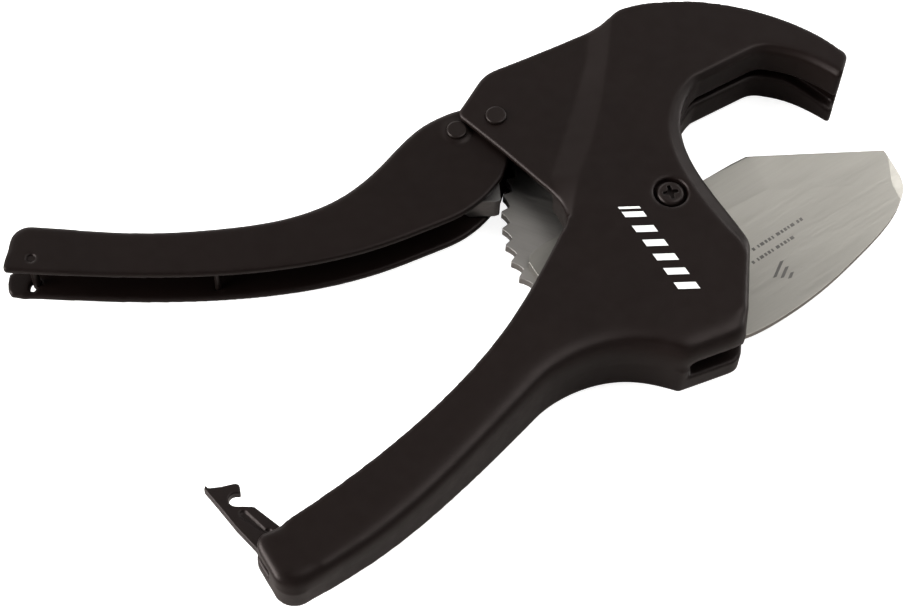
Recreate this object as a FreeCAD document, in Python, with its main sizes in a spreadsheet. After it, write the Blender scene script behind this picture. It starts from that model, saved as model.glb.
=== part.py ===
"""Ratcheting cutter for plastic pipe: every separate piece of the tool.

Frame: origin on the blade pivot axis in the middle plane of the tool, +Z along
the pivot toward the screw head, +Y toward the back of the jaw, +X toward the
mouth.  The tool lies flat on its side.  Millimetres.
"""
import FreeCAD
import Part
import Sketcher
import math
import os

V = FreeCAD.Vector

SIZES = {
    # body casting
    "slab_half": 14.5,
    "body_half": 13.7,
    "ear_half": 11.8,
    "ear_gap_half": 9.3,
    "blade_slot_half": 1.7,
    "window_half": 3.2,
    "sector_slot_depth": 4.7,
    "sector_slot_radius": 52.4,
    "bore_recess_radius": 5.3,
    "bore_recess_floor": 11.3,
    "handle_channel_half": 5.2,
    "latch_fork_half": 2.1,
    # handle pivot and pawl pivot
    "hinge_x": -54.7,
    "hinge_y": 26.4,
    "pawl_x": -66.7,
    "pawl_y": 22.0,
    # moving handle
    "handle_half": 8.5,
    "channel_half": 6.0,
    "hub_radius": 8.4,
    "ring_radius": 4.2,
    "ring_height": 0.5,
    "catch_x": -193.0,
    "catch_y": -32.7,
    "mid_pin_x": -137.4,
    "mid_pin_y": -30.9,
    "catch_pin_radius": 1.25,
    "mid_pin_radius": 0.9,
    "mid_pin_top": 7.2,
    "pin_sink": 0.7,
    "close_angle": 39.05,
    # blade and ratchet sector
    "blade_half": 1.1,
    "sector_low": -4.1,
    "tooth_tip_radius": 51.6,
    "tooth_root_radius": 48.9,
    "tooth_pitch": 6.9,
    "first_tip": 139.6,
    "tooth_count": 13,
    "pivot_hole_radius": 5.04,
    "bush_radius": 5.0,
    "bush_bore": 3.05,
    "join_rivet_radius": 2.0,
    # screw, nut, washers
    "screw_radius": 3.0,
    "screw_head_radius": 4.4,
    "screw_head_height": 2.2,
    "nut_flats": 8.0,
    "nut_height": 3.4,
    "washer_outer": 9.2,
    "washer_thick": 0.5,
    # rivets
    "hinge_rivet_radius": 2.5,
    "hinge_head_radius": 3.25,
    "head_height": 1.0,
    "pawl_pin_radius": 2.0,
    "pawl_head_radius": 3.2,
    "hinge_hole_radius": 2.55,
    "pawl_bore_radius": 2.05,
    "latch_bore_radius": 1.65,
    "washer_bore": 5.1,
    "spacer_radius": 6.0,
    # pawl and springs
    "pawl_low": -5.4,
    "pawl_high": 3.0,
    "spring_wire": 0.55,
    "hinge_coil_radius": 4.0,
    "pawl_coil_radius": 3.4,
    # latch
    "latch_x": -110.2,
    "latch_y": -122.6,
    "latch_half": 1.7,
    "latch_pin_radius": 1.6,
}

doc = FreeCAD.newDocument("pipe_cutter")
sheet = doc.addObject("Spreadsheet::Sheet", "Sizes")
for row, (name, value) in enumerate(SIZES.items(), 1):
    sheet.set("A%d" % row, name)
    sheet.set("B%d" % row, str(value))
    sheet.setAlias("B%d" % row, name)
doc.recompute()

PARTS = []


def size(name):
    """A size as kept in the sheet."""
    return float(sheet.get(name))


HINGE = V(size("hinge_x"), size("hinge_y"), 0)
PAWL = V(size("pawl_x"), size("pawl_y"), 0)
LATCH = V(size("latch_x"), size("latch_y"), 0)
CATCH = V(size("catch_x"), size("catch_y"), 0)


def polar(radius, degrees, centre=V(0, 0, 0)):
    """Point at a radius and angle about a centre in the middle plane."""
    turn = math.radians(degrees)
    return centre + V(radius * math.cos(turn), radius * math.sin(turn), 0)


def turned(point, centre, degrees):
    """Point turned about a centre in the middle plane."""
    spin = FreeCAD.Rotation(V(0, 0, 1), degrees)
    return centre + spin.multVec(point - centre)


def keep(item, label):
    """Register a finished piece under its file name."""
    item.Label = label
    PARTS.append(item)
    return item


# ---------------------------------------------------------------- sketches

def vec(point):
    if isinstance(point, FreeCAD.Vector):
        return point
    return V(point[0], point[1], 0)


def curves(start, steps):
    """Turn a start point and steps into curves that end where they began."""
    here = vec(start)
    made = []
    for kind, points in steps:
        points = [vec(p) for p in points]
        if kind == "line":
            for there in points:
                made.append(Part.LineSegment(here, there))
                here = there
        elif kind == "arc":
            made.append(Part.Arc(here, points[0], points[1]))
            here = points[1]
        else:
            spline = Part.BSplineCurve()
            spline.interpolate([here] + points)
            made.append(spline)
            here = points[-1]
    if (here - vec(start)).Length > 1e-6:
        made.append(Part.LineSegment(here, vec(start)))
    return made


def body(name):
    return doc.addObject("PartDesign::Body", name)


def plane(owner, role):
    for feature in owner.Origin.OriginFeatures:
        if feature.Role == role:
            return feature
    raise ValueError(role)


def sketch(owner, name, role="XY_Plane", height=0.0, turn=0.0):
    """Empty sketch on one of the body's own planes, lifted and turned."""
    made = owner.newObject("Sketcher::SketchObject", name)
    made.AttachmentSupport = [(plane(owner, role), "")]
    made.MapMode = "FlatFace"
    spin = FreeCAD.Rotation(V(0, 0, 1), turn)
    made.AttachmentOffset = FreeCAD.Placement(V(0, 0, height), spin)
    return made


def draw(target, start, steps):
    target.addGeometry(curves(start, steps), False)


def circle(target, centre, radius_name):
    """Circle whose radius is bound to the sheet."""
    centre = vec(centre)
    index = target.addGeometry(Part.Circle(centre, V(0, 0, 1), size(radius_name)), False)
    rule = target.addConstraint(Sketcher.Constraint("Radius", index, size(radius_name)))
    target.setExpression("Constraints[%d]" % rule, "Sizes." + radius_name)
    return index


def slab(owner, name, profile, kind, length, midplane=False, reverse=False):
    """Pad or Pocket of a sketch by a length given as a sheet expression."""
    made = owner.newObject("PartDesign::" + kind, name)
    made.Profile = profile
    if midplane:
        made.SideType = "Symmetric"
    made.Reversed = reverse
    made.setExpression("Length", length)
    profile.Visibility = False
    doc.recompute()
    return made


def extents(owner, name, draws, kind, low, high):
    """Pad or pocket from height low to height high, both sheet expressions."""
    flat = sketch(owner, name + "_outline")
    flat.setExpression("AttachmentOffset.Base.z", low)
    draws(flat)
    reverse = kind == "Pocket"
    return slab(owner, name, flat, kind, "(%s) - (%s)" % (high, low), reverse=reverse)


def loft(owner, name, kind, profiles):
    """Ruled loft or cut between two drawn loops at two heights."""
    made = owner.newObject("PartDesign::" + kind, name)
    flats = []
    for index, (height, start, steps) in enumerate(profiles):
        flat = sketch(owner, "%s_%d" % (name, index), height=height)
        draw(flat, start, steps)
        flats.append(flat)
    doc.recompute()
    made.Profile = flats[0]
    made.Sections = flats[1:]
    made.Ruled = True
    doc.recompute()
    return made


def at(owner, name, kind, low, high, start, steps):
    """Pad or pocket a drawn loop between two heights."""
    return extents(owner, name, lambda flat: draw(flat, start, steps), kind, low, high)


def rounds(owner, name, kind, low, high, centres, radius):
    """Pad or pocket round columns of one named radius between two heights."""
    def disks(flat):
        for centre in centres:
            circle(flat, centre, radius)
    return extents(owner, name, disks, kind, low, high)


ALL_LOW = "-Sizes.slab_half - 1"
ALL_HIGH = "Sizes.slab_half + 1"


# ------------------------------------------------------------ body casting

OUTLINE_START = (56.9, 55.5)
OUTLINE = [
    ("arc", [(56.4, 57.4), (54.6, 58.9)]),
    ("curve", [(48.8, 63.5), (36, 70), (23.1, 73.8), (10, 75.3), (-3, 74.3)]),
    ("arc", [(-10.7, 72.7), (-16.7, 70.1)]),
    ("line", [(-22.5, 64.2)]),
    ("arc", [(-39.8, 53.7), (-55.2, 45)]),
    ("arc", [(-58.2, 42.8), (-60.5, 39.8)]),
    ("line", [(-65.5, 29.5)]),
    ("arc", [(-66.2, 26.8), (-64.6, 24.7)]),
    ("line", [(-53, 14.6), (-39.6, 2.1)]),
    ("curve", [(-34.5, -3.4), (-32.0, -9.0), (-33.3, -16.4)]),
    ("curve", [(-39.3, -31.0), (-49.9, -52.1), (-72.3, -81.5), (-94.2, -102.7), (-110.2, -116.0)]),
    ("line", [(-113.6, -118.0)]),
    ("arc", [(-116.9, -120.7), (-116.5, -123.6)]),
    ("line", [(-111.7, -131)]),
    ("arc", [(-107.2, -134.6), (-101.4, -133)]),
    ("curve", [(-95, -128.4), (-81.7, -117.7), (-60, -94.9), (-37.2, -67.2)]),
    ("curve", [(-25.4, -58.5), (-10.3, -54.5), (-0.8, -55.5), (4.6, -56.9)]),
    ("line", [(19.4, -50.0)]),
    ("arc", [(22.0, -48.0), (23.1, -44.8)]),
    ("line", [(24.2, -19.0)]),
    ("arc", [(24.0, -15.6), (22.6, -12.7)]),
    ("curve", [(14.4, -0.3), (7.5, 11.5), (3.9, 22.5), (4.4, 34.0), (9.6, 44.6)]),
    ("line", [(27.0, 56.1)]),
    ("arc", [(30.3, 57.3), (33.8, 57.1)]),
    ("curve", [(42.0, 55.2), (48.3, 52.2), (53.6, 48.8)]),
    ("arc", [(54.7, 48.8), (55.4, 49.9)]),
]


def top_curve(sign):
    """Profile above the casting's flat face, which falls away along the fixed handle."""
    flat = sign * size("body_half")
    return (90, flat), [
        ("line", [(-24, flat)]),
        ("arc", [(-58, sign * 12.75), (-92, sign * 10.1)]),
        ("arc", [(-115, sign * 8.35), (-140, sign * 7.2)]),
        ("line", [(-140, sign * 20), (90, sign * 20)]),
    ]


def cut_faces(owner):
    side = sketch(owner, "face_fall", role="YZ_Plane")
    for sign in (1, -1):
        start, steps = top_curve(sign)
        draw(side, start, steps)
    return slab(owner, "face_cut", side, "Pocket", "500", midplane=True)


def cut_ear(owner, sign):
    """Thinner ear at the hinge, joined to the main zone by a sloped band."""
    low = size("ear_half") * sign
    high = (size("ear_half") + 3.2) * sign
    foot = [(-24.5, 90), (-26.9, 50), (-30.3, 33), (-33.8, 18), (-37.2, 4.5), (-31.4, -11), (-90, -11)]
    head = [(-11.5, 90), (-14.6, 50), (-15.2, 33), (-17.4, 18), (-21.5, 4.5), (-30.3, -11), (-90, -11)]
    name = "ear_%s" % ("near" if sign > 0 else "far")
    loops = [(low, (-90, 90), [("line", foot)]), (high, (-90, 90), [("line", head)])]
    return loft(owner, name, "SubtractiveLoft", loops)


def cut_throat_bevel(owner, sign):
    """Wide bevel round the throat, narrow down the side and lower corner."""
    low = 12.0 * sign
    high = 15.0 * sign
    name = "bevel_%s" % ("near" if sign > 0 else "far")
    inner = [
        ("curve", [(48.3, 52.2), (42.0, 55.2), (33.8, 57.1)]),
        ("arc", [(30.3, 57.3), (27.0, 56.1)]),
        ("line", [(9.6, 44.6)]),
        ("curve", [(4.4, 34.0), (3.9, 22.5), (7.5, 11.5), (14.4, -0.3), (22.6, -12.7)]),
        ("arc", [(24.0, -15.6), (24.2, -19.0)]),
        ("line", [(22.8, -44.4)]),
        ("arc", [(21.8, -47.4), (19.2, -49.4)]),
        ("line", [(4.6, -56.8), (20, -80), (90, -80), (90, 40)]),
    ]
    outer = [
        ("curve", [(48.3, 55.6), (41.9, 58.4), (33.4, 60.3)]),
        ("arc", [(28.9, 60.1), (24.6, 58.6)]),
        ("line", [(4.9, 44.6)]),
        ("curve", [(-1.6, 34.2), (-3.2, 20.5), (0.4, 7.4), (6.6, -4.0), (14.4, -13.4)]),
        ("arc", [(20.3, -19.4), (22.3, -24.0)]),
        ("line", [(20.7, -44.0)]),
        ("arc", [(20.0, -45.3), (18.4, -46.4)]),
        ("line", [(3.4, -53.8), (20, -80), (90, -80), (90, 40)]),
    ]
    loops = [(low, (57.5, 45.8), inner), (high, (57.5, 50.2), outer)]
    return loft(owner, name, "SubtractiveLoft", loops)


def cut_low_rim(owner, sign):
    """Slope along the lower rim of the neck, fading out down the fixed handle."""
    low = 10.2 * sign
    high = 14.5 * sign
    name = "low_rim_%s" % ("near" if sign > 0 else "far")
    foot = [
        ("line", [(-81.7, -117.7)]),
        ("curve", [(-60, -94.9), (-37.2, -67.2)]),
        ("curve", [(-25.4, -58.5), (-10.3, -54.5), (-0.8, -55.5), (4.6, -56.9)]),
        ("line", [(19.4, -50.0), (60, -30), (60, -140)]),
    ]
    head = [
        ("line", [(-84.2, -115.1)]),
        ("curve", [(-62.7, -92.5), (-39.8, -64.7)]),
        ("curve", [(-27.0, -55.2), (-10.5, -50.8), (-1.4, -51.7), (3.9, -53.3)]),
        ("line", [(18.1, -46.5), (60, -26), (60, -140)]),
    ]
    loops = [(low, (-110, -145.0), foot), (high, (-112.5, -142.4), head)]
    return loft(owner, name, "SubtractiveLoft", loops)


def cut_slot_mouths(owner):
    """Blade slot opens wider at the lower corner and flares at the tip of the jaw."""
    window = [("line", [(60, -70), (60, -32), (6.6, -32)])]
    at(owner, "corner_window", "Pocket", "-Sizes.window_half", "Sizes.window_half", (6.6, -70), window)
    wide = [("line", [(38.5, 62.0), (57, 51.0), (62, 40)])]
    narrow = [("line", [(54.0, 54.6), (57, 51.0), (62, 40)])]
    loops = [(-1.5, (38.5, 51.0), wide), (-6.2, (54.0, 43.0), narrow)]
    return loft(owner, "tip_flare", "SubtractiveLoft", loops)


def cut_blade_slot(owner):
    """Gap between the cheeks, closed at the back of the jaw."""
    around = size("sector_slot_radius")
    low = polar(50.2, 278)
    steps = [
        ("line", [(6.4, 47.8), (33.9, 68.1)]),
        ("curve", [(43.5, 64.2), (51.0, 58.4), (62, 46)]),
        ("line", [(100, 30), (100, -70), (7.0, -70), low]),
        ("arc", [polar(50.2, 268), polar(50.2, 258)]),
        ("line", [polar(around, 256)]),
        ("arc", [polar(around, 180), polar(around, 99)]),
        ("line", [polar(35.8, 99)]),
    ]
    gap = "Sizes.blade_slot_half"
    at(owner, "blade_slot", "Pocket", "-" + gap, gap, (0.2, 35.0), steps)
    fan = [
        ("arc", [polar(around, 183), polar(around, 266.2)]),
        ("line", [polar(10.3, 331)]),
        ("arc", [polar(10.25, 2), polar(10.2, 34.8)]),
    ]
    return at(owner, "sector_slot", "Pocket", "-Sizes.sector_slot_depth", gap, polar(around, 100.6), fan)


def cut_ear_gap(owner):
    """Room between the ears for the fork of the moving handle."""
    steps = [
        ("line", [(-66.5, 34.6), polar(11.0, 105, HINGE)]),
        ("arc", [polar(11.0, 70, HINGE), polar(11.0, 35, HINGE)]),
        ("curve", [(-40.5, 22), (-37.0, 12), (-36.2, -4)]),
        ("line", [(-46, -16), (-90, -30)]),
    ]
    gap = "Sizes.ear_gap_half"
    return at(owner, "ear_gap", "Pocket", "-" + gap, gap, (-90, 33.0), steps)


def cut_handle_channel(owner):
    """Fixed handle is hollow, open toward the moving handle."""
    steps = [
        ("line", [(-44.5, -42.5), (-37.5, -51.5)]),
        ("curve", [(-60.5, -83.0), (-90.0, -114.2)]),
        ("arc", [(-95.5, -113.5), (-98.4, -107.0)]),
        ("line", [(-110, -92)]),
    ]
    gap = "Sizes.handle_channel_half"
    return at(owner, "handle_channel", "Pocket", "-" + gap, gap, (-62, -36), steps)


def cut_latch_fork(owner):
    """Slot in the handle end that carries the latch."""
    steps = [
        ("line", [(-104.3, -117.5)]),
        ("arc", [polar(5.8, -10, LATCH), polar(5.8, -100, LATCH)]),
        ("line", [(-140, -134), (-140, -90), (-105, -104)]),
    ]
    gap = "Sizes.latch_fork_half"
    return at(owner, "latch_fork", "Pocket", "-" + gap, gap, (-104.3, -112), steps)


def hexagon(centre, flats):
    radius = flats / math.sqrt(3)
    return [polar(radius, 30 + 60 * k, centre) for k in range(6)]


def drill_body(owner):
    here = V(0, 0, 0)
    floor = "Sizes.bore_recess_floor"
    rounds(owner, "screw_hole", "Pocket", ALL_LOW, ALL_HIGH, [here], "bush_bore")
    rounds(owner, "screw_recess", "Pocket", floor, ALL_HIGH, [here], "bore_recess_radius")
    hexa = hexagon(here, size("nut_flats") + 0.3)
    at(owner, "nut_recess", "Pocket", ALL_LOW, "-9.6", hexa[0], [("line", hexa[1:])])
    rounds(owner, "hinge_hole", "Pocket", ALL_LOW, ALL_HIGH, [HINGE], "hinge_rivet_radius")
    return rounds(owner, "latch_hole", "Pocket", ALL_LOW, "5.2", [LATCH], "latch_pin_radius")


def body_casting():
    made = body("BodyCasting")
    flat = sketch(made, "casting_outline")
    draw(flat, OUTLINE_START, OUTLINE)
    slab(made, "casting_slab", flat, "Pad", "2 * Sizes.slab_half", midplane=True)
    cut_faces(made)
    for sign in (1, -1):
        cut_ear(made, sign)
        cut_throat_bevel(made, sign)
        cut_low_rim(made, sign)
    cut_blade_slot(made)
    cut_slot_mouths(made)
    cut_ear_gap(made)
    cut_handle_channel(made)
    cut_latch_fork(made)
    last = drill_body(made)
    made.Tip = last
    return keep(made, "body_casting")


# ----------------------------------------------------------- moving handle

HANDLE_START = (-47.2, 22.6)
HANDLE = [
    ("line", [(-51.2, 8.6)]),
    ("arc", [(-51.7, 6.4), (-52.8, 4.4)]),
    ("curve", [(-57.8, -2.8), (-63.8, -8.4), (-71.5, -13.0), (-87.8, -21.5), (-105.7, -28.2),
               (-129.6, -33.5), (-160, -36.6), (-200.2, -37.3)]),
    ("line", [(-201.0, -36.6)]),
    ("line", [(-200.4, -27.9)]),
    ("arc", [(-198.8, -23), (-194.2, -20.9)]),
    ("curve", [(-180, -21.3), (-161.3, -21.2), (-137.1, -18.2), (-113.2, -11.5), (-101.1, -4.2),
               (-89.6, 8.5), (-78.1, 23.5), (-72, 28.1), (-65.7, 31.2)]),
    ("line", [(-57.6, 34.3)]),
    ("arc", [(-47.43, 30.6), (-47.2, 22.6)]),
]

CHANNEL_START = (-206, -22.7)
CHANNEL = [
    ("line", [(-188, -23.4)]),
    ("curve", [(-161.4, -23.7), (-137.1, -20.8), (-112.0, -14.0), (-99.3, -6.1),
               (-87.5, 6.8), (-76.5, 21.2), (-71.0, 25.7), (-64.9, 28.4)]),
    ("line", [(-62.0, 42), (-36, 42), (-40, 0), (-56, -16), (-80, -30), (-206, -46)]),
]

FAR_END = [(-201.9, -30.0), (-202.0, -33.2), (-201.4, -35.9), (-199.6, -37.3), (-196.8, -37.7), (-192.0, -37.4)]


def moving_handle():
    made = body("MovingHandle")
    flat = sketch(made, "handle_outline")
    draw(flat, HANDLE_START, HANDLE)
    slab(made, "handle_slab", flat, "Pad", "2 * Sizes.handle_half", midplane=True)
    gap = "Sizes.channel_half"
    at(made, "handle_channel", "Pocket", "-" + gap, gap, CHANNEL_START, CHANNEL)
    half = "Sizes.handle_half"
    at(made, "far_wall_end", "Pad", "-" + half, "-" + gap, (-192.0, -29.0), [("line", [(-200.2, -29.0)] + FAR_END)])
    ring = half + " + Sizes.ring_height"
    rounds(made, "pin_boss_near", "Pad", half, ring, [PAWL], "ring_radius")
    rounds(made, "pin_boss_far", "Pad", "-(%s)" % ring, "-" + half, [PAWL], "ring_radius")
    rounds(made, "hinge_hole", "Pocket", ALL_LOW, ALL_HIGH, [HINGE], "hinge_hole_radius")
    rounds(made, "pawl_hole", "Pocket", ALL_LOW, ALL_HIGH, [PAWL], "pawl_pin_radius")
    rounds(made, "catch_hole", "Pocket", ALL_LOW, ALL_HIGH, [CATCH], "catch_pin_radius")
    middle = V(size("mid_pin_x"), size("mid_pin_y"), 0)
    rounds(made, "mid_hole", "Pocket", ALL_LOW, "Sizes.mid_pin_top", [middle], "mid_pin_radius")
    low = CATCH + V(-1.9, -3.0, 0)
    slot = [("line", [low + V(1.8, 0, 0), low + V(1.8, 3.0, 0), low + V(0, 3.0, 0)])]
    last = at(made, "catch_keyhole", "Pocket", ALL_LOW, "-" + gap, low, slot)
    made.Tip = last
    return keep(made, "moving_handle")


# -------------------------------------------------------- blade and sector

BLADE_START = (69.8, 29.5)
BLADE = [
    ("line", [(24.8, 24.1), (11.6, 14.1)]),
    ("curve", [(6.0, 12.6), (-3.0, 12.6), (-11.5, 6.5), (-21.0, -2.2), (-33.1, -9.8),
               (-37.8, -13.1), (-42.2, -17.7)]),
    ("line", [(-42.4, -20.3), (-38.9, -25.8)]),
    ("curve", [(-28, -36), (-12, -44), (6, -46.5), (25.3, -41.7), (34.2, -35.9), (51, -21),
               (58.6, -12.5), (67.6, -1.4), (72.9, 7.4), (75.0, 14.0)]),
    ("arc", [(75.0, 17.4), (74.0, 20.9)]),
]

JOIN_RIVETS = [V(-21.5, -8.8, 0), V(-29.5, -17.0, 0), V(-14.5, -17.0, 0)]


def grind(owner, name, line_start, direction, length, width, slope):
    """One flat of the ground edge: a box laid at a slope, mirrored to the far face."""
    box = owner.newObject("PartDesign::SubtractiveBox", name)
    box.Length = length
    box.Width = width
    box.Height = 6
    spin = FreeCAD.Rotation(V(0, 0, 1), direction).multiply(FreeCAD.Rotation(V(1, 0, 0), -slope))
    box.Placement = FreeCAD.Placement(V(line_start[0], line_start[1], size("blade_half")), spin)
    doc.recompute()
    both = owner.newObject("PartDesign::Mirrored", name + "_far")
    both.Originals = [box]
    both.MirrorPlane = (plane(owner, "XY_Plane"), [""])
    doc.recompute()
    owner.Tip = both
    doc.recompute()
    return both


def blade():
    made = body("Blade")
    flat = sketch(made, "blade_outline")
    draw(flat, BLADE_START, BLADE)
    slab(made, "blade_plate", flat, "Pad", "2 * Sizes.blade_half", midplane=True)
    rounds(made, "blade_hole", "Pocket", ALL_LOW, ALL_HIGH, [V(0, 0, 0)], "pivot_hole_radius")
    rounds(made, "join_holes", "Pocket", ALL_LOW, ALL_HIGH, JOIN_RIVETS, "join_rivet_radius")
    grind(made, "grind_edge", (13.5, 9.0), 6.9, 75, 30, 4.4)
    grind(made, "grind_heel", (11.7, -2.1), 33.5, 45, 30, 4.4)
    last = grind(made, "grind_tip", (66.0, 30.0), -68.8, 24, 12, 13.5)
    made.Tip = last
    return keep(made, "blade")


def teeth():
    """Outline steps along the teeth: short drive flank, longer sloped back."""
    tip_radius = size("tooth_tip_radius")
    root_radius = size("tooth_root_radius")
    pitch = size("tooth_pitch")
    steps = [("line", [polar(root_radius, size("first_tip") - 2.3)])]
    for k in range(int(size("tooth_count"))):
        angle = size("first_tip") + pitch * k
        tip = polar(tip_radius, angle)
        before = polar(root_radius, angle - 2.3)
        after = polar(root_radius, angle - 2.3 + pitch)
        first = tip + (before - tip) * 0.18
        last = tip + (after - tip) * 0.14
        crown = (first + last) * 0.2 + tip * 0.6
        hollow = (last + after) * 0.5
        hollow = hollow * (1 - 0.35 / hollow.Length)
        steps.append(("line", [first]))
        steps.append(("arc", [crown, last]))
        steps.append(("arc", [hollow, after]))
    return steps


def ratchet_sector():
    made = body("RatchetSector")
    root = size("tooth_root_radius")
    hub = [
        ("line", [polar(9.6, 290)]),
        ("arc", [polar(9.6, 0), polar(9.6, 72)]),
    ]
    steps = teeth() + hub
    low = "Sizes.sector_low"
    high = "-Sizes.blade_half"
    at(made, "sector_plate", "Pad", low, high, polar(root, 136.5), steps)
    rounds(made, "sector_hole", "Pocket", ALL_LOW, ALL_HIGH, [V(0, 0, 0)], "pivot_hole_radius")
    last = rounds(made, "join_holes", "Pocket", ALL_LOW, ALL_HIGH, JOIN_RIVETS, "join_rivet_radius")
    made.Tip = last
    return keep(made, "ratchet_sector")


# ------------------------------------------------- turned and small pieces

def column(name, radius, low, high, centre):
    """Part cylinder bound to the sheet."""
    made = doc.addObject("Part::Cylinder", name)
    made.setExpression("Radius", "Sizes." + radius)
    made.setExpression("Height", "(%s) - (%s)" % (high, low))
    made.Placement = FreeCAD.Placement(centre, FreeCAD.Rotation())
    made.setExpression("Placement.Base.z", low)
    made.Visibility = False
    return made


def fused(label, pieces):
    made = doc.addObject("Part::MultiFuse", label)
    made.Shapes = pieces
    return keep(made, label)


def cut(label, base, tool):
    made = doc.addObject("Part::Cut", label)
    made.Base = base
    made.Tool = tool
    return keep(made, label)


def head(name, radius, base, height, centre, flip=False):
    """Flat-topped head with an eased rim: a half profile turned about its axis."""
    owner = body(name)
    side = sketch(owner, name + "_profile", role="XZ_Plane")
    rim = size(radius)
    tall = size(height)
    crown = [(1.0, 0.6), (0.97, 0.82), (0.9, 0.96), (0.8, 1.0), (0.0, 1.0)]
    steps = [("line", [(rim, 0)] + [(rim * across, tall * up) for across, up in crown])]
    draw(side, (0, 0), steps)
    made = owner.newObject("PartDesign::Revolution", name + "_turned")
    made.Profile = side
    made.ReferenceAxis = (side, ["V_Axis"])
    made.Angle = 360
    doc.recompute()
    spin = FreeCAD.Rotation(V(1, 0, 0), 180 if flip else 0)
    owner.Placement = FreeCAD.Placement(centre + V(0, 0, base), spin)
    owner.Visibility = False
    return owner


def riveted(label, shank, rim, base, centre):
    """Shank with a domed head on each side of the tool."""
    low = "-%s" % base
    pieces = [
        column(label + "_shank", shank, low, "%s" % base, centre),
        head(label + "_near", rim, base, "head_height", centre),
        head(label + "_far", rim, -base, "head_height", centre, flip=True),
    ]
    return fused(label, pieces)


def pins_and_rivets():
    here = V(0, 0, 0)
    middle = V(size("mid_pin_x"), size("mid_pin_y"), 0)
    half = size("handle_half")
    riveted("handle_pivot_rivet", "hinge_rivet_radius", "hinge_head_radius", size("ear_half"), HINGE)
    riveted("pawl_pin", "pawl_pin_radius", "pawl_head_radius", half + size("ring_height"), PAWL)
    far = "-Sizes.handle_half + Sizes.pin_sink"
    keep(column("mid_cross_pin", "mid_pin_radius", far, "Sizes.mid_pin_top", middle), "mid_cross_pin")
    keep(column("latch_catch_pin", "catch_pin_radius", far, "Sizes.handle_half - Sizes.pin_sink", CATCH),
         "latch_catch_pin")
    keep(column("latch_pivot_pin", "latch_pin_radius", "-8.0", "5.2", LATCH), "latch_pivot_pin")
    for k, spot in enumerate(JOIN_RIVETS, 1):
        made = column("join_rivet_%d" % k, "join_rivet_radius", "Sizes.sector_low", "Sizes.blade_half", spot)
        keep(made, "sector_rivet_%d" % k)
    slot = "Sizes.blade_slot_half"
    cut("blade_pivot_bush", column("bush_outer", "bush_radius", "-Sizes.sector_slot_depth", slot, here),
        column("bush_inner", "screw_radius", "-9", "9", here))


def washers():
    here = V(0, 0, 0)
    near_low = "Sizes.blade_half + 0.05"
    cut("friction_washer_near",
        column("washer_near", "washer_outer", near_low, near_low + " + Sizes.washer_thick", here),
        column("washer_near_bore", "washer_bore", "0", "5", here))
    far_high = "Sizes.sector_low - 0.05"
    cut("friction_washer_far",
        column("washer_far", "washer_outer", far_high + " - Sizes.washer_thick", far_high, here),
        column("washer_far_bore", "washer_bore", "-8", "0", here))
    gap_low = "Sizes.handle_half + 0.1"
    gap_high = "Sizes.ear_gap_half - 0.1"
    for side, low, high in (("near", gap_low, gap_high), ("far", "-(%s)" % gap_high, "-(%s)" % gap_low)):
        cut("handle_pivot_washer_" + side,
            column("spacer_" + side, "spacer_radius", low, high, HINGE),
            column("spacer_bore_" + side, "hinge_rivet_radius", "-12", "12", HINGE))


def pivot_screw():
    made = body("PivotScrew")
    floor = "Sizes.bore_recess_floor"
    here = V(0, 0, 0)
    rounds(made, "shank", "Pad", "-12.6", floor, [here], "screw_radius")
    side = sketch(made, "pan_profile", role="XZ_Plane", height=0)
    base = size("bore_recess_floor")
    rim = size("screw_head_radius")
    tall = size("screw_head_height")
    steps = [
        ("line", [(rim, base), (rim, base + 0.45 * tall)]),
        ("arc", [(rim - 0.5, base + 0.85 * tall), (rim - 1.7, base + tall)]),
        ("line", [(0, base + tall)]),
    ]
    draw(side, (0, base), steps)
    turned_head = made.newObject("PartDesign::Revolution", "pan_head")
    turned_head.Profile = side
    turned_head.ReferenceAxis = (side, ["V_Axis"])
    turned_head.Angle = 360
    doc.recompute()
    lean = math.radians(17)
    cross = []
    for quarter in range(4):
        turn = lean + quarter * math.pi / 2
        for far, side in ((2.5, -0.55), (2.5, 0.55), (0.8, 0.8)):
            cross.append((far * math.cos(turn) - side * math.sin(turn),
                          far * math.sin(turn) + side * math.cos(turn)))
    last = at(made, "cross_recess", "Pocket", floor + " + 0.7", ALL_HIGH, cross[0],
              [("line", cross[1:])])
    made.Tip = last
    return keep(made, "blade_pivot_screw")


def pivot_nut():
    made = body("PivotNut")
    hexa = hexagon(V(0, 0, 0), size("nut_flats"))
    at(made, "nut_hex", "Pad", "-9.6 - Sizes.nut_height", "-9.6", hexa[0], [("line", hexa[1:])])
    last = rounds(made, "nut_thread", "Pocket", ALL_LOW, ALL_HIGH, [V(0, 0, 0)], "screw_radius")
    made.Tip = last
    return keep(made, "blade_pivot_nut")


# --------------------------------------------------------- pawl and latch

def pawl():
    made = body("PawlBody")
    steps = [
        ("arc", [polar(4.6, 130, PAWL), polar(4.6, 222, PAWL)]),
        ("line", [(-62.9, 1.6)]),
        ("arc", [(-62.5, 0.1), (-61.0, -0.5)]),
        ("line", [(-53.6, 0.1), (-52.3, 0.6)]),
        ("arc", [(-51.95, 1.2), (-52.0, 1.9)]),
        ("line", [(-52.7, 8.0)]),
    ]
    at(made, "pawl_plate", "Pad", "Sizes.pawl_low", "Sizes.pawl_high", polar(4.6, 38, PAWL), steps)
    last = rounds(made, "pawl_bore", "Pocket", ALL_LOW, ALL_HIGH, [PAWL], "pawl_bore_radius")
    made.Tip = last
    return keep(made, "pawl")


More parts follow.
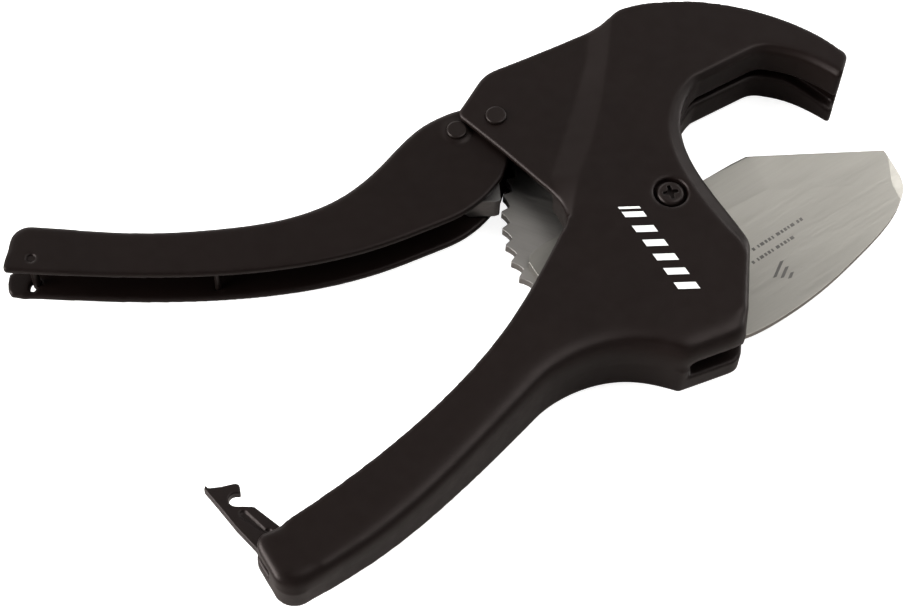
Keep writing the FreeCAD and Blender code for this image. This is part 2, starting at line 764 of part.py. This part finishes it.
def latch_lever():
    made = body("LatchLever")
    notch = (-124.4, -106.2)
    room = 2.05
    mouth = [(notch[0], notch[1] + room), (notch[0] - room, notch[1]), (notch[0], notch[1] - room)]
    steps = [
        ("line", [(-133.5, -101.9), (-132.8, -103.0), (-129.0, -102.3), (-125.3, -101.1)]),
        ("arc", [(-124.1, -101.3), (-123.5, -102.3)]),
        ("line", [(-123.2, -103.8), (-123.6, -104.15), mouth[0]]),
        ("arc", mouth[1:]),
        ("line", [(-118.9, -108.1), (-111.2, -113.7)]),
        ("line", [polar(5.0, 30, LATCH)]),
        ("arc", [polar(5.0, -50, LATCH), polar(5.0, 212, LATCH)]),
        ("line", [(-117.4, -121.0), (-123.6, -114.9), (-129.4, -108.3)]),
    ]
    half = "Sizes.latch_half"
    at(made, "latch_plate", "Pad", "-" + half, half, (-133.9, -103.4), steps)
    groove = [
        ("line", [(-113.6, -117.0)]),
        ("arc", [(-113.3, -115.3), (-115.0, -115.2)]),
        ("line", [(-120.8, -110.1)]),
        ("arc", [(-122.6, -109.9), (-122.4, -111.6)]),
    ]
    for low, high in ((half + " - 0.7", "6"), ("-6", "0.7 - " + half)):
        at(made, "web_groove", "Pocket", low, high, (-122.4, -111.6), groove)
    last = rounds(made, "latch_bore", "Pocket", ALL_LOW, ALL_HIGH, [LATCH], "latch_bore_radius")
    made.Tip = last
    return keep(made, "latch_lever")


# ------------------------------------------------------------------ springs

def coil(label, centre, radius, low, turns, pitch, leg_low, leg_high):
    """Torsion spring: helix with a straight leg from each end, swept in round wire."""
    wire_radius = size("spring_wire")
    helix = Part.makeHelix(pitch, pitch * turns, radius)
    helix.translate(centre + V(0, 0, low))
    first = centre + V(radius, 0, low)
    last_angle = 360.0 * (turns % 1)
    last = polar(radius, last_angle, centre) + V(0, 0, low + pitch * turns)
    pieces = []
    loop = Part.Wire([Part.makeCircle(wire_radius, first, V(0, 1, 0))])
    path = Part.Wire(helix.Edges)
    pieces.append(path.makePipeShell([loop], True, True))
    for here, there in ((first, leg_low), (last, leg_high)):
        reach = there - here
        pieces.append(Part.makeCylinder(wire_radius, reach.Length, here, reach))
        pieces.append(Part.makeSphere(wire_radius, here))
    solid = pieces[0].fuse(pieces[1:])
    made = doc.addObject("Part::Feature", label)
    made.Shape = solid
    return keep(made, label)


def springs():
    radius = size("hinge_coil_radius")
    low = HINGE + V(4.0, 8.0, -4.6)
    coil("handle_return_spring", HINGE, radius, -4.6, 7.5, 1.25, low, HINGE + V(-9.0, 0.6, 4.775))
    radius = size("pawl_coil_radius")
    coil("pawl_spring", PAWL, radius, 3.7, 1.25, 1.2, V(-55.6, 8.2, 3.7), V(-74.5, 21.0, 5.2))


def main():
    body_casting()
    moving_handle()
    blade()
    ratchet_sector()
    pins_and_rivets()
    washers()
    pivot_screw()
    pivot_nut()
    pawl()
    latch_lever()
    springs()
    doc.recompute()
    os.makedirs("parts", exist_ok=True)
    for item in doc.Objects:
        state = [word for word in item.State if word in ("Invalid", "Error")]
        if state:
            raise RuntimeError("%s %s" % (item.Name, state))
    for item in PARTS:
        if item.Shape.isNull() or not item.Shape.isValid():
            raise RuntimeError("bad shape " + item.Label)
        print("%-24s %8.1f mm3 %d solid" % (item.Label, item.Shape.Volume, len(item.Shape.Solids)))
        item.Shape.exportStep(os.path.join("parts", item.Label + ".step"))


main()
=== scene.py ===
import math

import bpy
import numpy
from mathutils import Matrix, Vector


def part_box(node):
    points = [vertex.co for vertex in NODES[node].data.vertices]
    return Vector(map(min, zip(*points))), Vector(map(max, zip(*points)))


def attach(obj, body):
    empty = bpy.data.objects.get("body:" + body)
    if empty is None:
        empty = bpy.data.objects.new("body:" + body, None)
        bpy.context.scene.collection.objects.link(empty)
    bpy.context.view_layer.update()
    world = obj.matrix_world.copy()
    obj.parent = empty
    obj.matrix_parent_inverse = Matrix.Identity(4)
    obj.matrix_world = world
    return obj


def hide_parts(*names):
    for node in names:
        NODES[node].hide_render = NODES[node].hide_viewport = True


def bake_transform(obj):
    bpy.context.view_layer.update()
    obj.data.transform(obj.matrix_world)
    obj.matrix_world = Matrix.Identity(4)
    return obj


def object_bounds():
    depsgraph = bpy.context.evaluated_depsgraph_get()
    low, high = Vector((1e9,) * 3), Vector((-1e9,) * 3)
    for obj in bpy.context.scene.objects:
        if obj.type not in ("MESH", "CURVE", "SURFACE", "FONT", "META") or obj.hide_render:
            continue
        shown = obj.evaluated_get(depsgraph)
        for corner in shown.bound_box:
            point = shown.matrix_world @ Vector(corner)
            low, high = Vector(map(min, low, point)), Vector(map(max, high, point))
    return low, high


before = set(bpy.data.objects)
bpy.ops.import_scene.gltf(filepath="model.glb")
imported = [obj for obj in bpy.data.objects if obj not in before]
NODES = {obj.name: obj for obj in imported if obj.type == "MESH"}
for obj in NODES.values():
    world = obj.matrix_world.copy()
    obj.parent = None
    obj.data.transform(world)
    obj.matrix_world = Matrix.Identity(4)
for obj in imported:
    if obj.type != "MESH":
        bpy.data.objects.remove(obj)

CAD_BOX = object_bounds()
MM = 0.001
JOIN_WITHIN = 0.002 * MM
FLAT_WITHIN = math.radians(0.6)

# ------------------------------------------------------------------ materials


class Nodes:
    """Short way to build a node material around one Principled shader."""

    def __init__(self, name):
        self.material = bpy.data.materials.new(name)
        self.material.use_nodes = True
        self.tree = self.material.node_tree
        self.shader = self.tree.nodes["Principled BSDF"]

    def node(self, kind, **inputs):
        made = self.tree.nodes.new(kind)
        for key, value in inputs.items():
            self.feed(made.inputs[key.replace("_", " ")], value)
        return made

    def feed(self, socket, value):
        if isinstance(value, bpy.types.NodeSocket):
            self.tree.links.new(value, socket)
        else:
            socket.default_value = value

    def set(self, **inputs):
        for key, value in inputs.items():
            self.feed(self.shader.inputs[key.replace("_", " ")], value)

    def place(self, stretch=(1, 1, 1), turn=0.0):
        """Position on the piece, turned about +Z and stretched."""
        here = self.node("ShaderNodeTexCoord").outputs["Object"]
        turned = self.node("ShaderNodeMapping", Vector=here)
        turned.inputs["Rotation"].default_value = (0, 0, math.radians(turn))
        stretched = self.node("ShaderNodeMapping", Vector=turned.outputs[0])
        stretched.inputs["Scale"].default_value = stretch
        return stretched.outputs[0]

    def noise(self, scale, stretch=(1, 1, 1), turn=0.0, detail=3.0, rough=0.55):
        made = self.node("ShaderNodeTexNoise", Vector=self.place(stretch, turn))
        made.inputs["Scale"].default_value = scale
        made.inputs["Detail"].default_value = detail
        made.inputs["Roughness"].default_value = rough
        return made.outputs["Fac"]

    def ramp(self, value, low, high, start=0.35, end=0.65):
        """Map a 0..1 value to numbers between low and high."""
        made = self.node("ShaderNodeMapRange", Value=value)
        made.inputs["From Min"].default_value = start
        made.inputs["From Max"].default_value = end
        made.inputs["To Min"].default_value = low
        made.inputs["To Max"].default_value = high
        return made.outputs[0]

    def mix(self, share, first, second):
        made = self.tree.nodes.new("ShaderNodeMix")
        made.data_type = "RGBA"
        self.feed(made.inputs["Factor"], share)
        self.feed(made.inputs[6], first)
        self.feed(made.inputs[7], second)
        return made.outputs[2]

    def math(self, kind, first, second=0.0):
        made = self.tree.nodes.new("ShaderNodeMath")
        made.operation = kind
        self.feed(made.inputs[0], first)
        self.feed(made.inputs[1], second)
        return made.outputs[0]

    def bump(self, height, strength, distance, normal=None):
        made = self.node("ShaderNodeBump", Height=height)
        made.inputs["Strength"].default_value = strength
        made.inputs["Distance"].default_value = distance
        if normal is not None:
            self.feed(made.inputs["Normal"], normal)
        return made.outputs[0]

    def soft_edges(self, radius):
        """Surface direction with the sharp edges shaded as if rounded."""
        made = self.tree.nodes.new("ShaderNodeBevel")
        made.samples = 6
        made.inputs["Radius"].default_value = radius
        return made.outputs[0]

    def edge_mask(self, radius):
        """1 on edges and 0 on flats, with the rounded surface direction."""
        rounded = self.soft_edges(radius)
        true = self.node("ShaderNodeNewGeometry").outputs["Normal"]
        dot = self.tree.nodes.new("ShaderNodeVectorMath")
        dot.operation = "DOT_PRODUCT"
        self.feed(dot.inputs[0], rounded)
        self.feed(dot.inputs[1], true)
        return self.ramp(dot.outputs["Value"], 1.0, 0.0, 0.75, 0.98), rounded


def rgb(red, green, blue):
    return (red, green, blue, 1.0)


def painted(name, tone, rough, edge=0.0012, grain=1500.0, shine=0.18):
    """Satin black powder coat: fine orange peel, slow tone drift, paler worn edges."""
    worn = rgb(0.075, 0.072, 0.070)
    warm = rgb(1.0, 0.88, 0.86)
    m = Nodes(name)
    drift = m.ramp(m.noise(60.0, detail=2.0), 0.0, 1.0)
    base = m.mix(drift, rgb(*[c * 0.93 for c in tone]), rgb(*[c * 1.07 for c in tone]))
    mask, rounded = m.edge_mask(edge)
    scuffs = m.ramp(m.noise(420.0, detail=5.0, rough=0.7), 0.0, 1.0, 0.50, 0.72)
    wear = m.math("MULTIPLY", mask, scuffs)
    wear = m.math("MULTIPLY", wear, 0.30)
    base = m.mix(wear, base, worn)
    specks = m.noise(grain, detail=2.0, rough=0.6)
    height = m.bump(specks, 0.22, 0.00006, rounded)
    m.set(Base_Color=base, Metallic=0.0, Normal=height)
    m.set(Roughness=m.ramp(m.noise(260.0), rough - 0.02, rough + 0.03))
    m.shader.inputs["Specular IOR Level"].default_value = shine
    m.shader.inputs["Specular Tint"].default_value = warm
    return m


def steel(name, tone, rough, lines=0.5, turn=0.0, edge=0.0003, mottle=0.12):
    """Ground steel with fine lines along one way and slow mottling."""
    m = Nodes(name)
    fine = m.noise(900.0, stretch=(0.035, 1.0, 1.0), turn=turn, detail=4.0, rough=0.65)
    broad = m.noise(70.0, stretch=(0.25, 1.0, 1.0), turn=turn, detail=4.0)
    dark = rgb(*[c * (1.0 - mottle) for c in tone])
    light = rgb(*[c * (1.0 + mottle) for c in tone])
    base = m.mix(m.ramp(broad, 0.0, 1.0, 0.3, 0.7), dark, light)
    base = m.mix(m.ramp(fine, 0.0, 0.35 * lines, 0.35, 0.7), base, rgb(*[c * 0.62 for c in tone]))
    rounded = m.soft_edges(edge)
    m.set(Base_Color=base, Metallic=1.0)
    m.set(Normal=m.bump(fine, 0.16 * lines, 0.00003, rounded))
    m.set(Roughness=m.ramp(fine, rough - 0.06, rough + 0.08, 0.3, 0.7))
    m.shader.inputs["Anisotropic"].default_value = 0.35 * lines
    return m


def coat(item, made):
    """Give one piece a single material."""
    item.data.materials.clear()
    item.data.materials.append(made.material)


def fade(m, axis, low, high, start, end, base):
    """Multiply a base colour by a slow change along one axis of the piece, in metres; this paints light and
    shade into the colour.
    """
    here = m.node("ShaderNodeTexCoord").outputs["Object"]
    split = m.tree.nodes.new("ShaderNodeSeparateXYZ")
    m.feed(split.inputs[0], here)
    share = m.ramp(split.outputs[axis], low, high, start, end)
    tone = m.tree.nodes.new("ShaderNodeVectorMath")
    tone.operation = "SCALE"
    m.feed(tone.inputs[0], base)
    m.feed(tone.inputs["Scale"], share)
    return tone.outputs[0]


def paint_light_and_shade(m, *steps):
    """Paint slow changes of light and shade into a finished material's base colour."""
    socket = m.shader.inputs["Base Color"]
    base = socket.links[0].from_socket
    for axis, low, high, start, end in steps:
        base = fade(m, axis, low, high, start, end, base)
    m.tree.links.new(base, socket)


CASTING = painted("casting_paint", (0.0038, 0.0022, 0.0019), 0.36, shine=0.155)
HANDLE = painted("handle_paint", (0.0036, 0.0021, 0.0018), 0.35, edge=0.0010, shine=0.14)
LATCH = painted("latch_paint", (0.0045, 0.0030, 0.0028), 0.34, edge=0.0006, shine=0.19)
BLACKENED = painted("blackened_steel", (0.0050, 0.0034, 0.0030), 0.34, edge=0.0004, grain=2600.0, shine=0.19)
BLADE = steel("blade_steel", (0.300, 0.291, 0.268), 0.42, lines=0.28, turn=-38.0, mottle=0.05)
SECTOR = steel("sector_steel", (0.285, 0.275, 0.262), 0.44, lines=0.35, turn=20.0, mottle=0.18)
PAWL_STEEL = steel("pawl_steel", (0.20, 0.195, 0.19), 0.42, lines=0.3, turn=60.0, mottle=0.2)
ZINC = steel("zinc_steel", (0.42, 0.42, 0.42), 0.38, lines=0.3, mottle=0.1)
SPRING = steel("spring_steel", (0.30, 0.29, 0.28), 0.35, lines=0.3, mottle=0.1)
BRONZE = steel("bronze", (0.50, 0.34, 0.15), 0.36, lines=0.5, mottle=0.12)

# Painted light and shade on the blade: a painted highlight brightens it towards +Y, and painted shade
# darkens its tail towards -X, under the ear.
paint_light_and_shade(BLADE, ("Y", 0.93, 1.34, -0.040, 0.024), ("X", 0.66, 1.0, -0.034, -0.006))
# Painted shade on the sector: darker towards +Y, where the ear above shades it.
paint_light_and_shade(SECTOR, ("Y", 1.12, 0.72, -0.040, 0.010))


def ink(name, tone, rough):
    """Screen-printed or etched mark with slightly uneven density."""
    m = Nodes(name)
    grain = m.ramp(m.noise(2400.0, detail=3.0), 0.0, 1.0)
    m.set(Base_Color=m.mix(grain, rgb(*[c * 0.86 for c in tone]), rgb(*tone)), Roughness=rough)
    m.set(Normal=m.bump(grain, 0.1, 0.00002))
    return m


PRINT = ink("print_light_grey", (0.72, 0.73, 0.73), 0.5)
ETCH = ink("etch_grey", (0.085, 0.080, 0.075), 0.6)

COATS = {
    "body_casting": CASTING,
    "moving_handle": HANDLE,
    "blade": BLADE,
    "ratchet_sector": SECTOR,
    "handle_pivot_rivet": BLACKENED,
    "pawl_pin": BLACKENED,
    "mid_cross_pin": BLACKENED,
    "latch_catch_pin": BLACKENED,
    "latch_pivot_pin": BLACKENED,
    "sector_rivet_1": ZINC,
    "sector_rivet_2": ZINC,
    "sector_rivet_3": ZINC,
    "blade_pivot_bush": BRONZE,
    "friction_washer_near": BRONZE,
    "friction_washer_far": BRONZE,
    "handle_pivot_washer_near": ZINC,
    "handle_pivot_washer_far": ZINC,
    "blade_pivot_screw": BLACKENED,
    "blade_pivot_nut": BLACKENED,
    "pawl": PAWL_STEEL,
    "latch_lever": LATCH,
    "handle_return_spring": SPRING,
    "pawl_spring": SPRING,
}
for node, made in COATS.items():
    coat(NODES[node], made)


# ------------------------------------------------------------------ rounded edges

def dense_copy(node, name, cell):
    """Even fine mesh of one CAD node, ready for smoothing."""
    source = NODES[node]
    work = bpy.data.objects.new(name, source.data.copy())
    work.matrix_world = source.matrix_world
    bpy.context.scene.collection.objects.link(work)
    weld = work.modifiers.new("join", "WELD")
    weld.merge_threshold = JOIN_WITHIN
    flat = work.modifiers.new("flats", "DECIMATE")
    flat.decimate_type = "DISSOLVE"
    flat.angle_limit = FLAT_WITHIN
    remesh = work.modifiers.new("cells", "REMESH")
    remesh.mode = "VOXEL"
    remesh.voxel_size = cell
    remesh.adaptivity = 0.0
    graph = bpy.context.evaluated_depsgraph_get()
    mesh = bpy.data.meshes.new_from_object(work.evaluated_get(graph))
    work.modifiers.clear()
    old = work.data
    work.data = mesh
    bpy.data.meshes.remove(old)
    return work


def neighbours(mesh):
    """Every edge as a pair of vertex numbers, and how many edges meet at each vertex."""
    edges = numpy.empty(len(mesh.edges) * 2, dtype=numpy.int64)
    mesh.edges.foreach_get("vertices", edges)
    edges = edges.reshape(-1, 2)
    count = len(mesh.vertices)
    degree = numpy.bincount(edges.ravel(), minlength=count).astype(float)
    return edges, degree


def relax(spots, edges, degree, share, rounds):
    """Move every vertex toward the mean of its neighbours, by its own share."""
    count = len(spots)
    for _ in range(rounds):
        for axis in range(3):
            line = spots[:, axis]
            total = numpy.bincount(edges[:, 0], line[edges[:, 1]], count)
            total += numpy.bincount(edges[:, 1], line[edges[:, 0]], count)
            spots[:, axis] = line + share * (total / degree - line)
    return spots


def step(value, low, high):
    """Smooth rise from 0 at low to 1 at high."""
    part = numpy.clip((value - low) / (high - low), 0, 1)
    return part * part * (3 - 2 * part)


def soften(node, name, body, cell, passes):
    """Replace one CAD node by a fine copy whose sharp rims are rolled over.

    Each pass names a region, as a weight from 0 to 1 over the piece, and its number of rounds.
    """
    item = dense_copy(node, name, cell)
    mesh = item.data
    edges, degree = neighbours(mesh)
    spots = numpy.empty(len(mesh.vertices) * 3)
    mesh.vertices.foreach_get("co", spots)
    spots = spots.reshape(-1, 3)
    for where, rounds in passes:
        share = 0.5 * where(spots / MM)
        relax(spots, edges, degree, share, rounds)
    mesh.vertices.foreach_set("co", spots.ravel())
    mesh.update()
    for face in mesh.polygons:
        face.use_smooth = True
    coat(item, COATS[node])
    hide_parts(node)
    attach(item, body)


def along(spots, start, way):
    """Distance of each spot past a line through start, measured along way."""
    size = math.hypot(*way)
    return ((spots[:, 0] - start[0]) * way[0] + (spots[:, 1] - start[1]) * way[1]) / size


def whole(spots):
    """1 everywhere."""
    return numpy.ones(len(spots))


def low_side(spots):
    """1 along the outer rim of the neck and fixed handle, 0 at jaw, channel and slot.

    The rim's height follows the outline, and lean turns a rise in y into a distance square to it.
    """
    x, y, z = spots.T
    rim = numpy.interp(x, [-111, -100, -81.7, -60, -37.2, -25.4, -10.3, 4.6, 20, 60],
                       [-136, -133, -117.7, -94.9, -67.2, -58.5, -54.5, -56.9, -50, -36])
    lean = numpy.interp(x, [-111, -81.7, -60, -37.2, -20, 20], [0.7, 0.7, 0.66, 0.7, 0.98, 0.9])
    inside = (y - rim) * lean
    near = 1 - step(inside, 5.0, 9.0)
    slot = step(inside, 0.8, 2.0) * (1 - step(z, 6.5, 8.5))
    return near * step(z, 1.5, 3.0) * (1 - slot)


def bend_side(spots):
    """1 along the bent side of the moving handle, where both walls meet the web."""
    x, y, z = spots.T
    top = numpy.interp(x, [-206, -198, -194, -161, -137, -113, -101, -89.6, -78.1, -72, -57],
                       [-30, -23, -20.9, -21.2, -18.2, -11.5, -4.2, 8.5, 23.5, 28.1, 34.0])
    lean = numpy.interp(x, [-206, -195, -137, -113, -100, -75, -66],
                        [0.5, 1.0, 0.97, 0.85, 0.64, 0.66, 0.9])
    band = 1 - step((top - y) * lean, 4.0, 6.5)
    return band * step(numpy.abs(z), 6.3, 7.0)


def tail(spots):
    """1 at the end of the fixed handle, on the near side of the latch."""
    end = (-104.5, -121.0)
    outward = (-0.74, -0.67)
    return step(along(spots, end, outward), -1.0, 2.0) * step(spots[:, 2], 1.0, 2.5)


# ------------------------------------------------------------------ springs

def twisting(node, name):
    """Smooth-shaded copy of a coil spring wound about a pin, baked in place and attached to no body."""
    source = NODES[node]
    item = bpy.data.objects.new(name, source.data.copy())
    item.matrix_world = source.matrix_world
    bpy.context.scene.collection.objects.link(item)
    for face in item.data.polygons:
        face.use_smooth = True
    coat(item, COATS[node])
    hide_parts(node)
    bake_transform(item)


# ------------------------------------------------------------------ printed and etched marks

def sheets(name, shapes, low, high, made, body):
    """Thin flat prisms, each from an outline in millimetres, joined in one mesh.

    Low and high are heights in metres.
    """
    verts = []
    faces = []
    for shape in shapes:
        base = len(verts)
        count = len(shape)
        verts += [(x * MM, y * MM, low) for x, y in shape]
        verts += [(x * MM, y * MM, high) for x, y in shape]
        faces.append([base + k for k in reversed(range(count))])
        faces.append([base + count + k for k in range(count)])
        for k in range(count):
            after = (k + 1) % count
            faces.append([base + k, base + after, base + count + after, base + count + k])
    mesh = bpy.data.meshes.new(name)
    mesh.from_pydata(verts, [], faces)
    item = bpy.data.objects.new(name, mesh)
    bpy.context.scene.collection.objects.link(item)
    coat(item, made)
    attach(item, body)


def slanted(start, along_way, across, first, last, half):
    """Parallelogram bar between two distances along a line, leaning with the across direction."""
    points = []
    for reach, side in ((first, -1), (last, -1), (last, 1), (first, 1)):
        x = start[0] + along_way[0] * reach + across[0] * side * half
        y = start[1] + along_way[1] * reach + across[1] * side * half
        points.append((x, y))
    return points


def print_on_body():
    """Plain slanted bars in a row beside the pivot screw."""
    start = (-13.2, -6.0)
    way = (0.543, -0.840)
    lean = (0.995, 0.10)
    half = 3.3
    bars_and_gaps = ((0.9, 1.2), (2.2, 3.6)) + ((2.6, 3.2),) * 5
    shapes = []
    place = 0.4
    for wide, gap in bars_and_gaps:
        shapes.append(slanted(start, way, lean, place, place + wide, half))
        place += wide + gap
    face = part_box("body_casting")[1].z + 0.02 * MM
    sheets("body_print", shapes, face - 0.03 * MM, face + 0.02 * MM, PRINT, "tool_body")


def etch_on_blade():
    """Two rows of plain dashes and three plain strokes, which spell nothing."""
    way = (0.783, 0.622)
    across = (-0.622, 0.783)
    rows = (((26.6, -11.6), 19.4), ((26.4, -16.4), 16.8))
    dashes = (0.9, 0.6, 1.3, 0.8)
    shapes = []
    for start, reach in rows:
        place = 0.0
        count = 0
        while place < reach:
            wide = dashes[count % len(dashes)]
            shapes.append(slanted(start, way, across, place, place + wide, 0.55))
            place += wide + (0.55 if count % 5 else 1.2)
            count += 1
    up = (0.36, 0.93)
    aside = (0.93, 0.36)
    for offset in (0.0, 2.3, 4.6):
        foot = (33.2 + offset, -21.2)
        shapes.append(slanted(foot, up, aside, 0.0, 6.6 - 0.9 * offset, 0.62))
    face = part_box("blade")[1].z
    sheets("blade_etch", shapes, face - 0.02 * MM, face + 0.01 * MM, ETCH, "cutting_blade")


# ------------------------------------------------------------------ stage

def pale_floor():
    """Plain floor under the tool, bright to the eye and dimmer in what it reflects."""
    half = 2.0
    below = 0.5 * MM
    corners = [(-half, -half, 0), (half, -half, 0), (half, half, 0), (-half, half, 0)]
    mesh = bpy.data.meshes.new("floor")
    mesh.from_pydata(corners, [], [(0, 1, 2, 3)])
    item = bpy.data.objects.new("floor", mesh)
    item.location = (0, 0, CAD_BOX[0][2] - below)
    bpy.context.scene.collection.objects.link(item)
    m = Nodes("floor_white")
    seen = m.node("ShaderNodeLightPath").outputs["Is Camera Ray"]
    tint = m.mix(seen, rgb(0.39, 0.355, 0.34), rgb(0.6, 0.6, 0.6))
    m.set(Base_Color=tint, Roughness=0.9)
    m.set(Emission_Color=rgb(1, 1, 1), Emission_Strength=m.math("MULTIPLY", seen, 0.85))
    item.data.materials.append(m.material)


def soft_light(name, place, aim, size, power):
    """Rectangular lamp at one place, turned toward another."""
    lamp = bpy.data.lights.new(name, "AREA")
    lamp.shape = "RECTANGLE"
    lamp.size, lamp.size_y = size
    lamp.energy = power
    item = bpy.data.objects.new(name, lamp)
    item.location = place
    item.rotation_euler = (Vector(aim) - Vector(place)).to_track_quat("-Z", "Y").to_euler()
    bpy.context.scene.collection.objects.link(item)


def sky(strength, lobes):
    """White tent round the tool: an even level, with soft brighter or dimmer patches.

    Each patch has its direction, its half width and soft border in degrees, and its gain.
    """
    world = bpy.data.worlds.new("studio")
    world.use_nodes = True
    tree = world.node_tree
    where = tree.nodes.new("ShaderNodeTexCoord").outputs["Generated"]

    def math_node(kind, first, second):
        made = tree.nodes.new("ShaderNodeMath")
        made.operation = kind
        for socket, value in zip(made.inputs, (first, second)):
            if isinstance(value, bpy.types.NodeSocket):
                tree.links.new(value, socket)
            else:
                socket.default_value = value
        return made.outputs[0]

    total = math_node("ADD", strength, 0.0)
    for way, reach, soft, gain in lobes:
        dot = tree.nodes.new("ShaderNodeVectorMath")
        dot.operation = "DOT_PRODUCT"
        tree.links.new(where, dot.inputs[0])
        dot.inputs[1].default_value = Vector(way).normalized()
        patch = tree.nodes.new("ShaderNodeMapRange")
        patch.interpolation_type = "SMOOTHSTEP"
        tree.links.new(dot.outputs["Value"], patch.inputs["Value"])
        patch.inputs["From Min"].default_value = math.cos(math.radians(reach + soft))
        patch.inputs["From Max"].default_value = math.cos(math.radians(reach))
        patch.inputs["To Min"].default_value = 0.0
        patch.inputs["To Max"].default_value = gain
        total = math_node("ADD", total, patch.outputs[0])
    ground = tree.nodes["Background"]
    ground.inputs["Color"].default_value = (1, 0.985, 0.965, 1)
    tree.links.new(math_node("MAXIMUM", total, 0.0), ground.inputs["Strength"])
    bpy.context.scene.world = world


def studio_camera():
    """Seen from above the near face, 59 degrees up, turned 3 degrees about the view."""
    lift = math.radians(59)
    roll = math.radians(3)
    ahead = Vector((0, math.cos(lift), -math.sin(lift)))
    side = Vector((1, 0, 0))
    up = Vector((0, math.sin(lift), math.cos(lift)))
    right = side * math.cos(roll) + up * math.sin(roll)
    over = up * math.cos(roll) - side * math.sin(roll)
    away = 0.6875
    offset = right * 0.06642 + over * 0.02763
    place = -(offset + ahead * away)
    data = bpy.data.cameras.new("camera")
    data.sensor_width = 36.0
    data.lens = 87.32
    data.clip_start = 0.01
    item = bpy.data.objects.new("camera", data)
    turn = Matrix((right, over, -ahead)).transposed()
    item.matrix_world = Matrix.Translation(place) @ turn.to_4x4()
    bpy.context.scene.collection.objects.link(item)
    bpy.context.scene.camera = item


soften("body_casting", "casting_skin", "tool_body", 0.40 * MM, [(whole, 9), (low_side, 190), (tail, 80)])
soften("moving_handle", "handle_skin", "lever", 0.38 * MM, [(whole, 9), (bend_side, 26)])
soften("latch_lever", "latch_skin", "latch", 0.2 * MM, [(whole, 9)])

twisting("handle_return_spring", "return_coil")
twisting("pawl_spring", "pawl_coil")
print_on_body()
etch_on_blade()

pale_floor()
TENT = [
    ((-0.93, -0.25, 0.28), 18, 14, 15.0),
    ((-0.75, 0.35, 0.5), 12, 38, 0.70),
    ((-0.35, 0.9, 0.15), 8, 20, 3.0),
    ((0.46, 0.03, 0.89), 12, 11, 4.6),
    ((0.42, 0.75, 0.50), 4, 8, 6.0),
    ((0.88, 0.47, 0.05), 10, 16, 7.0),
    ((0.0, -0.30, 0.955), 23, 9, -0.50),
]
sky(0.49, TENT)
soft_light("key", (-1.1, -0.2, 0.5), (0, 0, 0), (0.3, 0.5), 1.2)
studio_camera()
bpy.context.scene.view_settings.view_transform = "Standard"
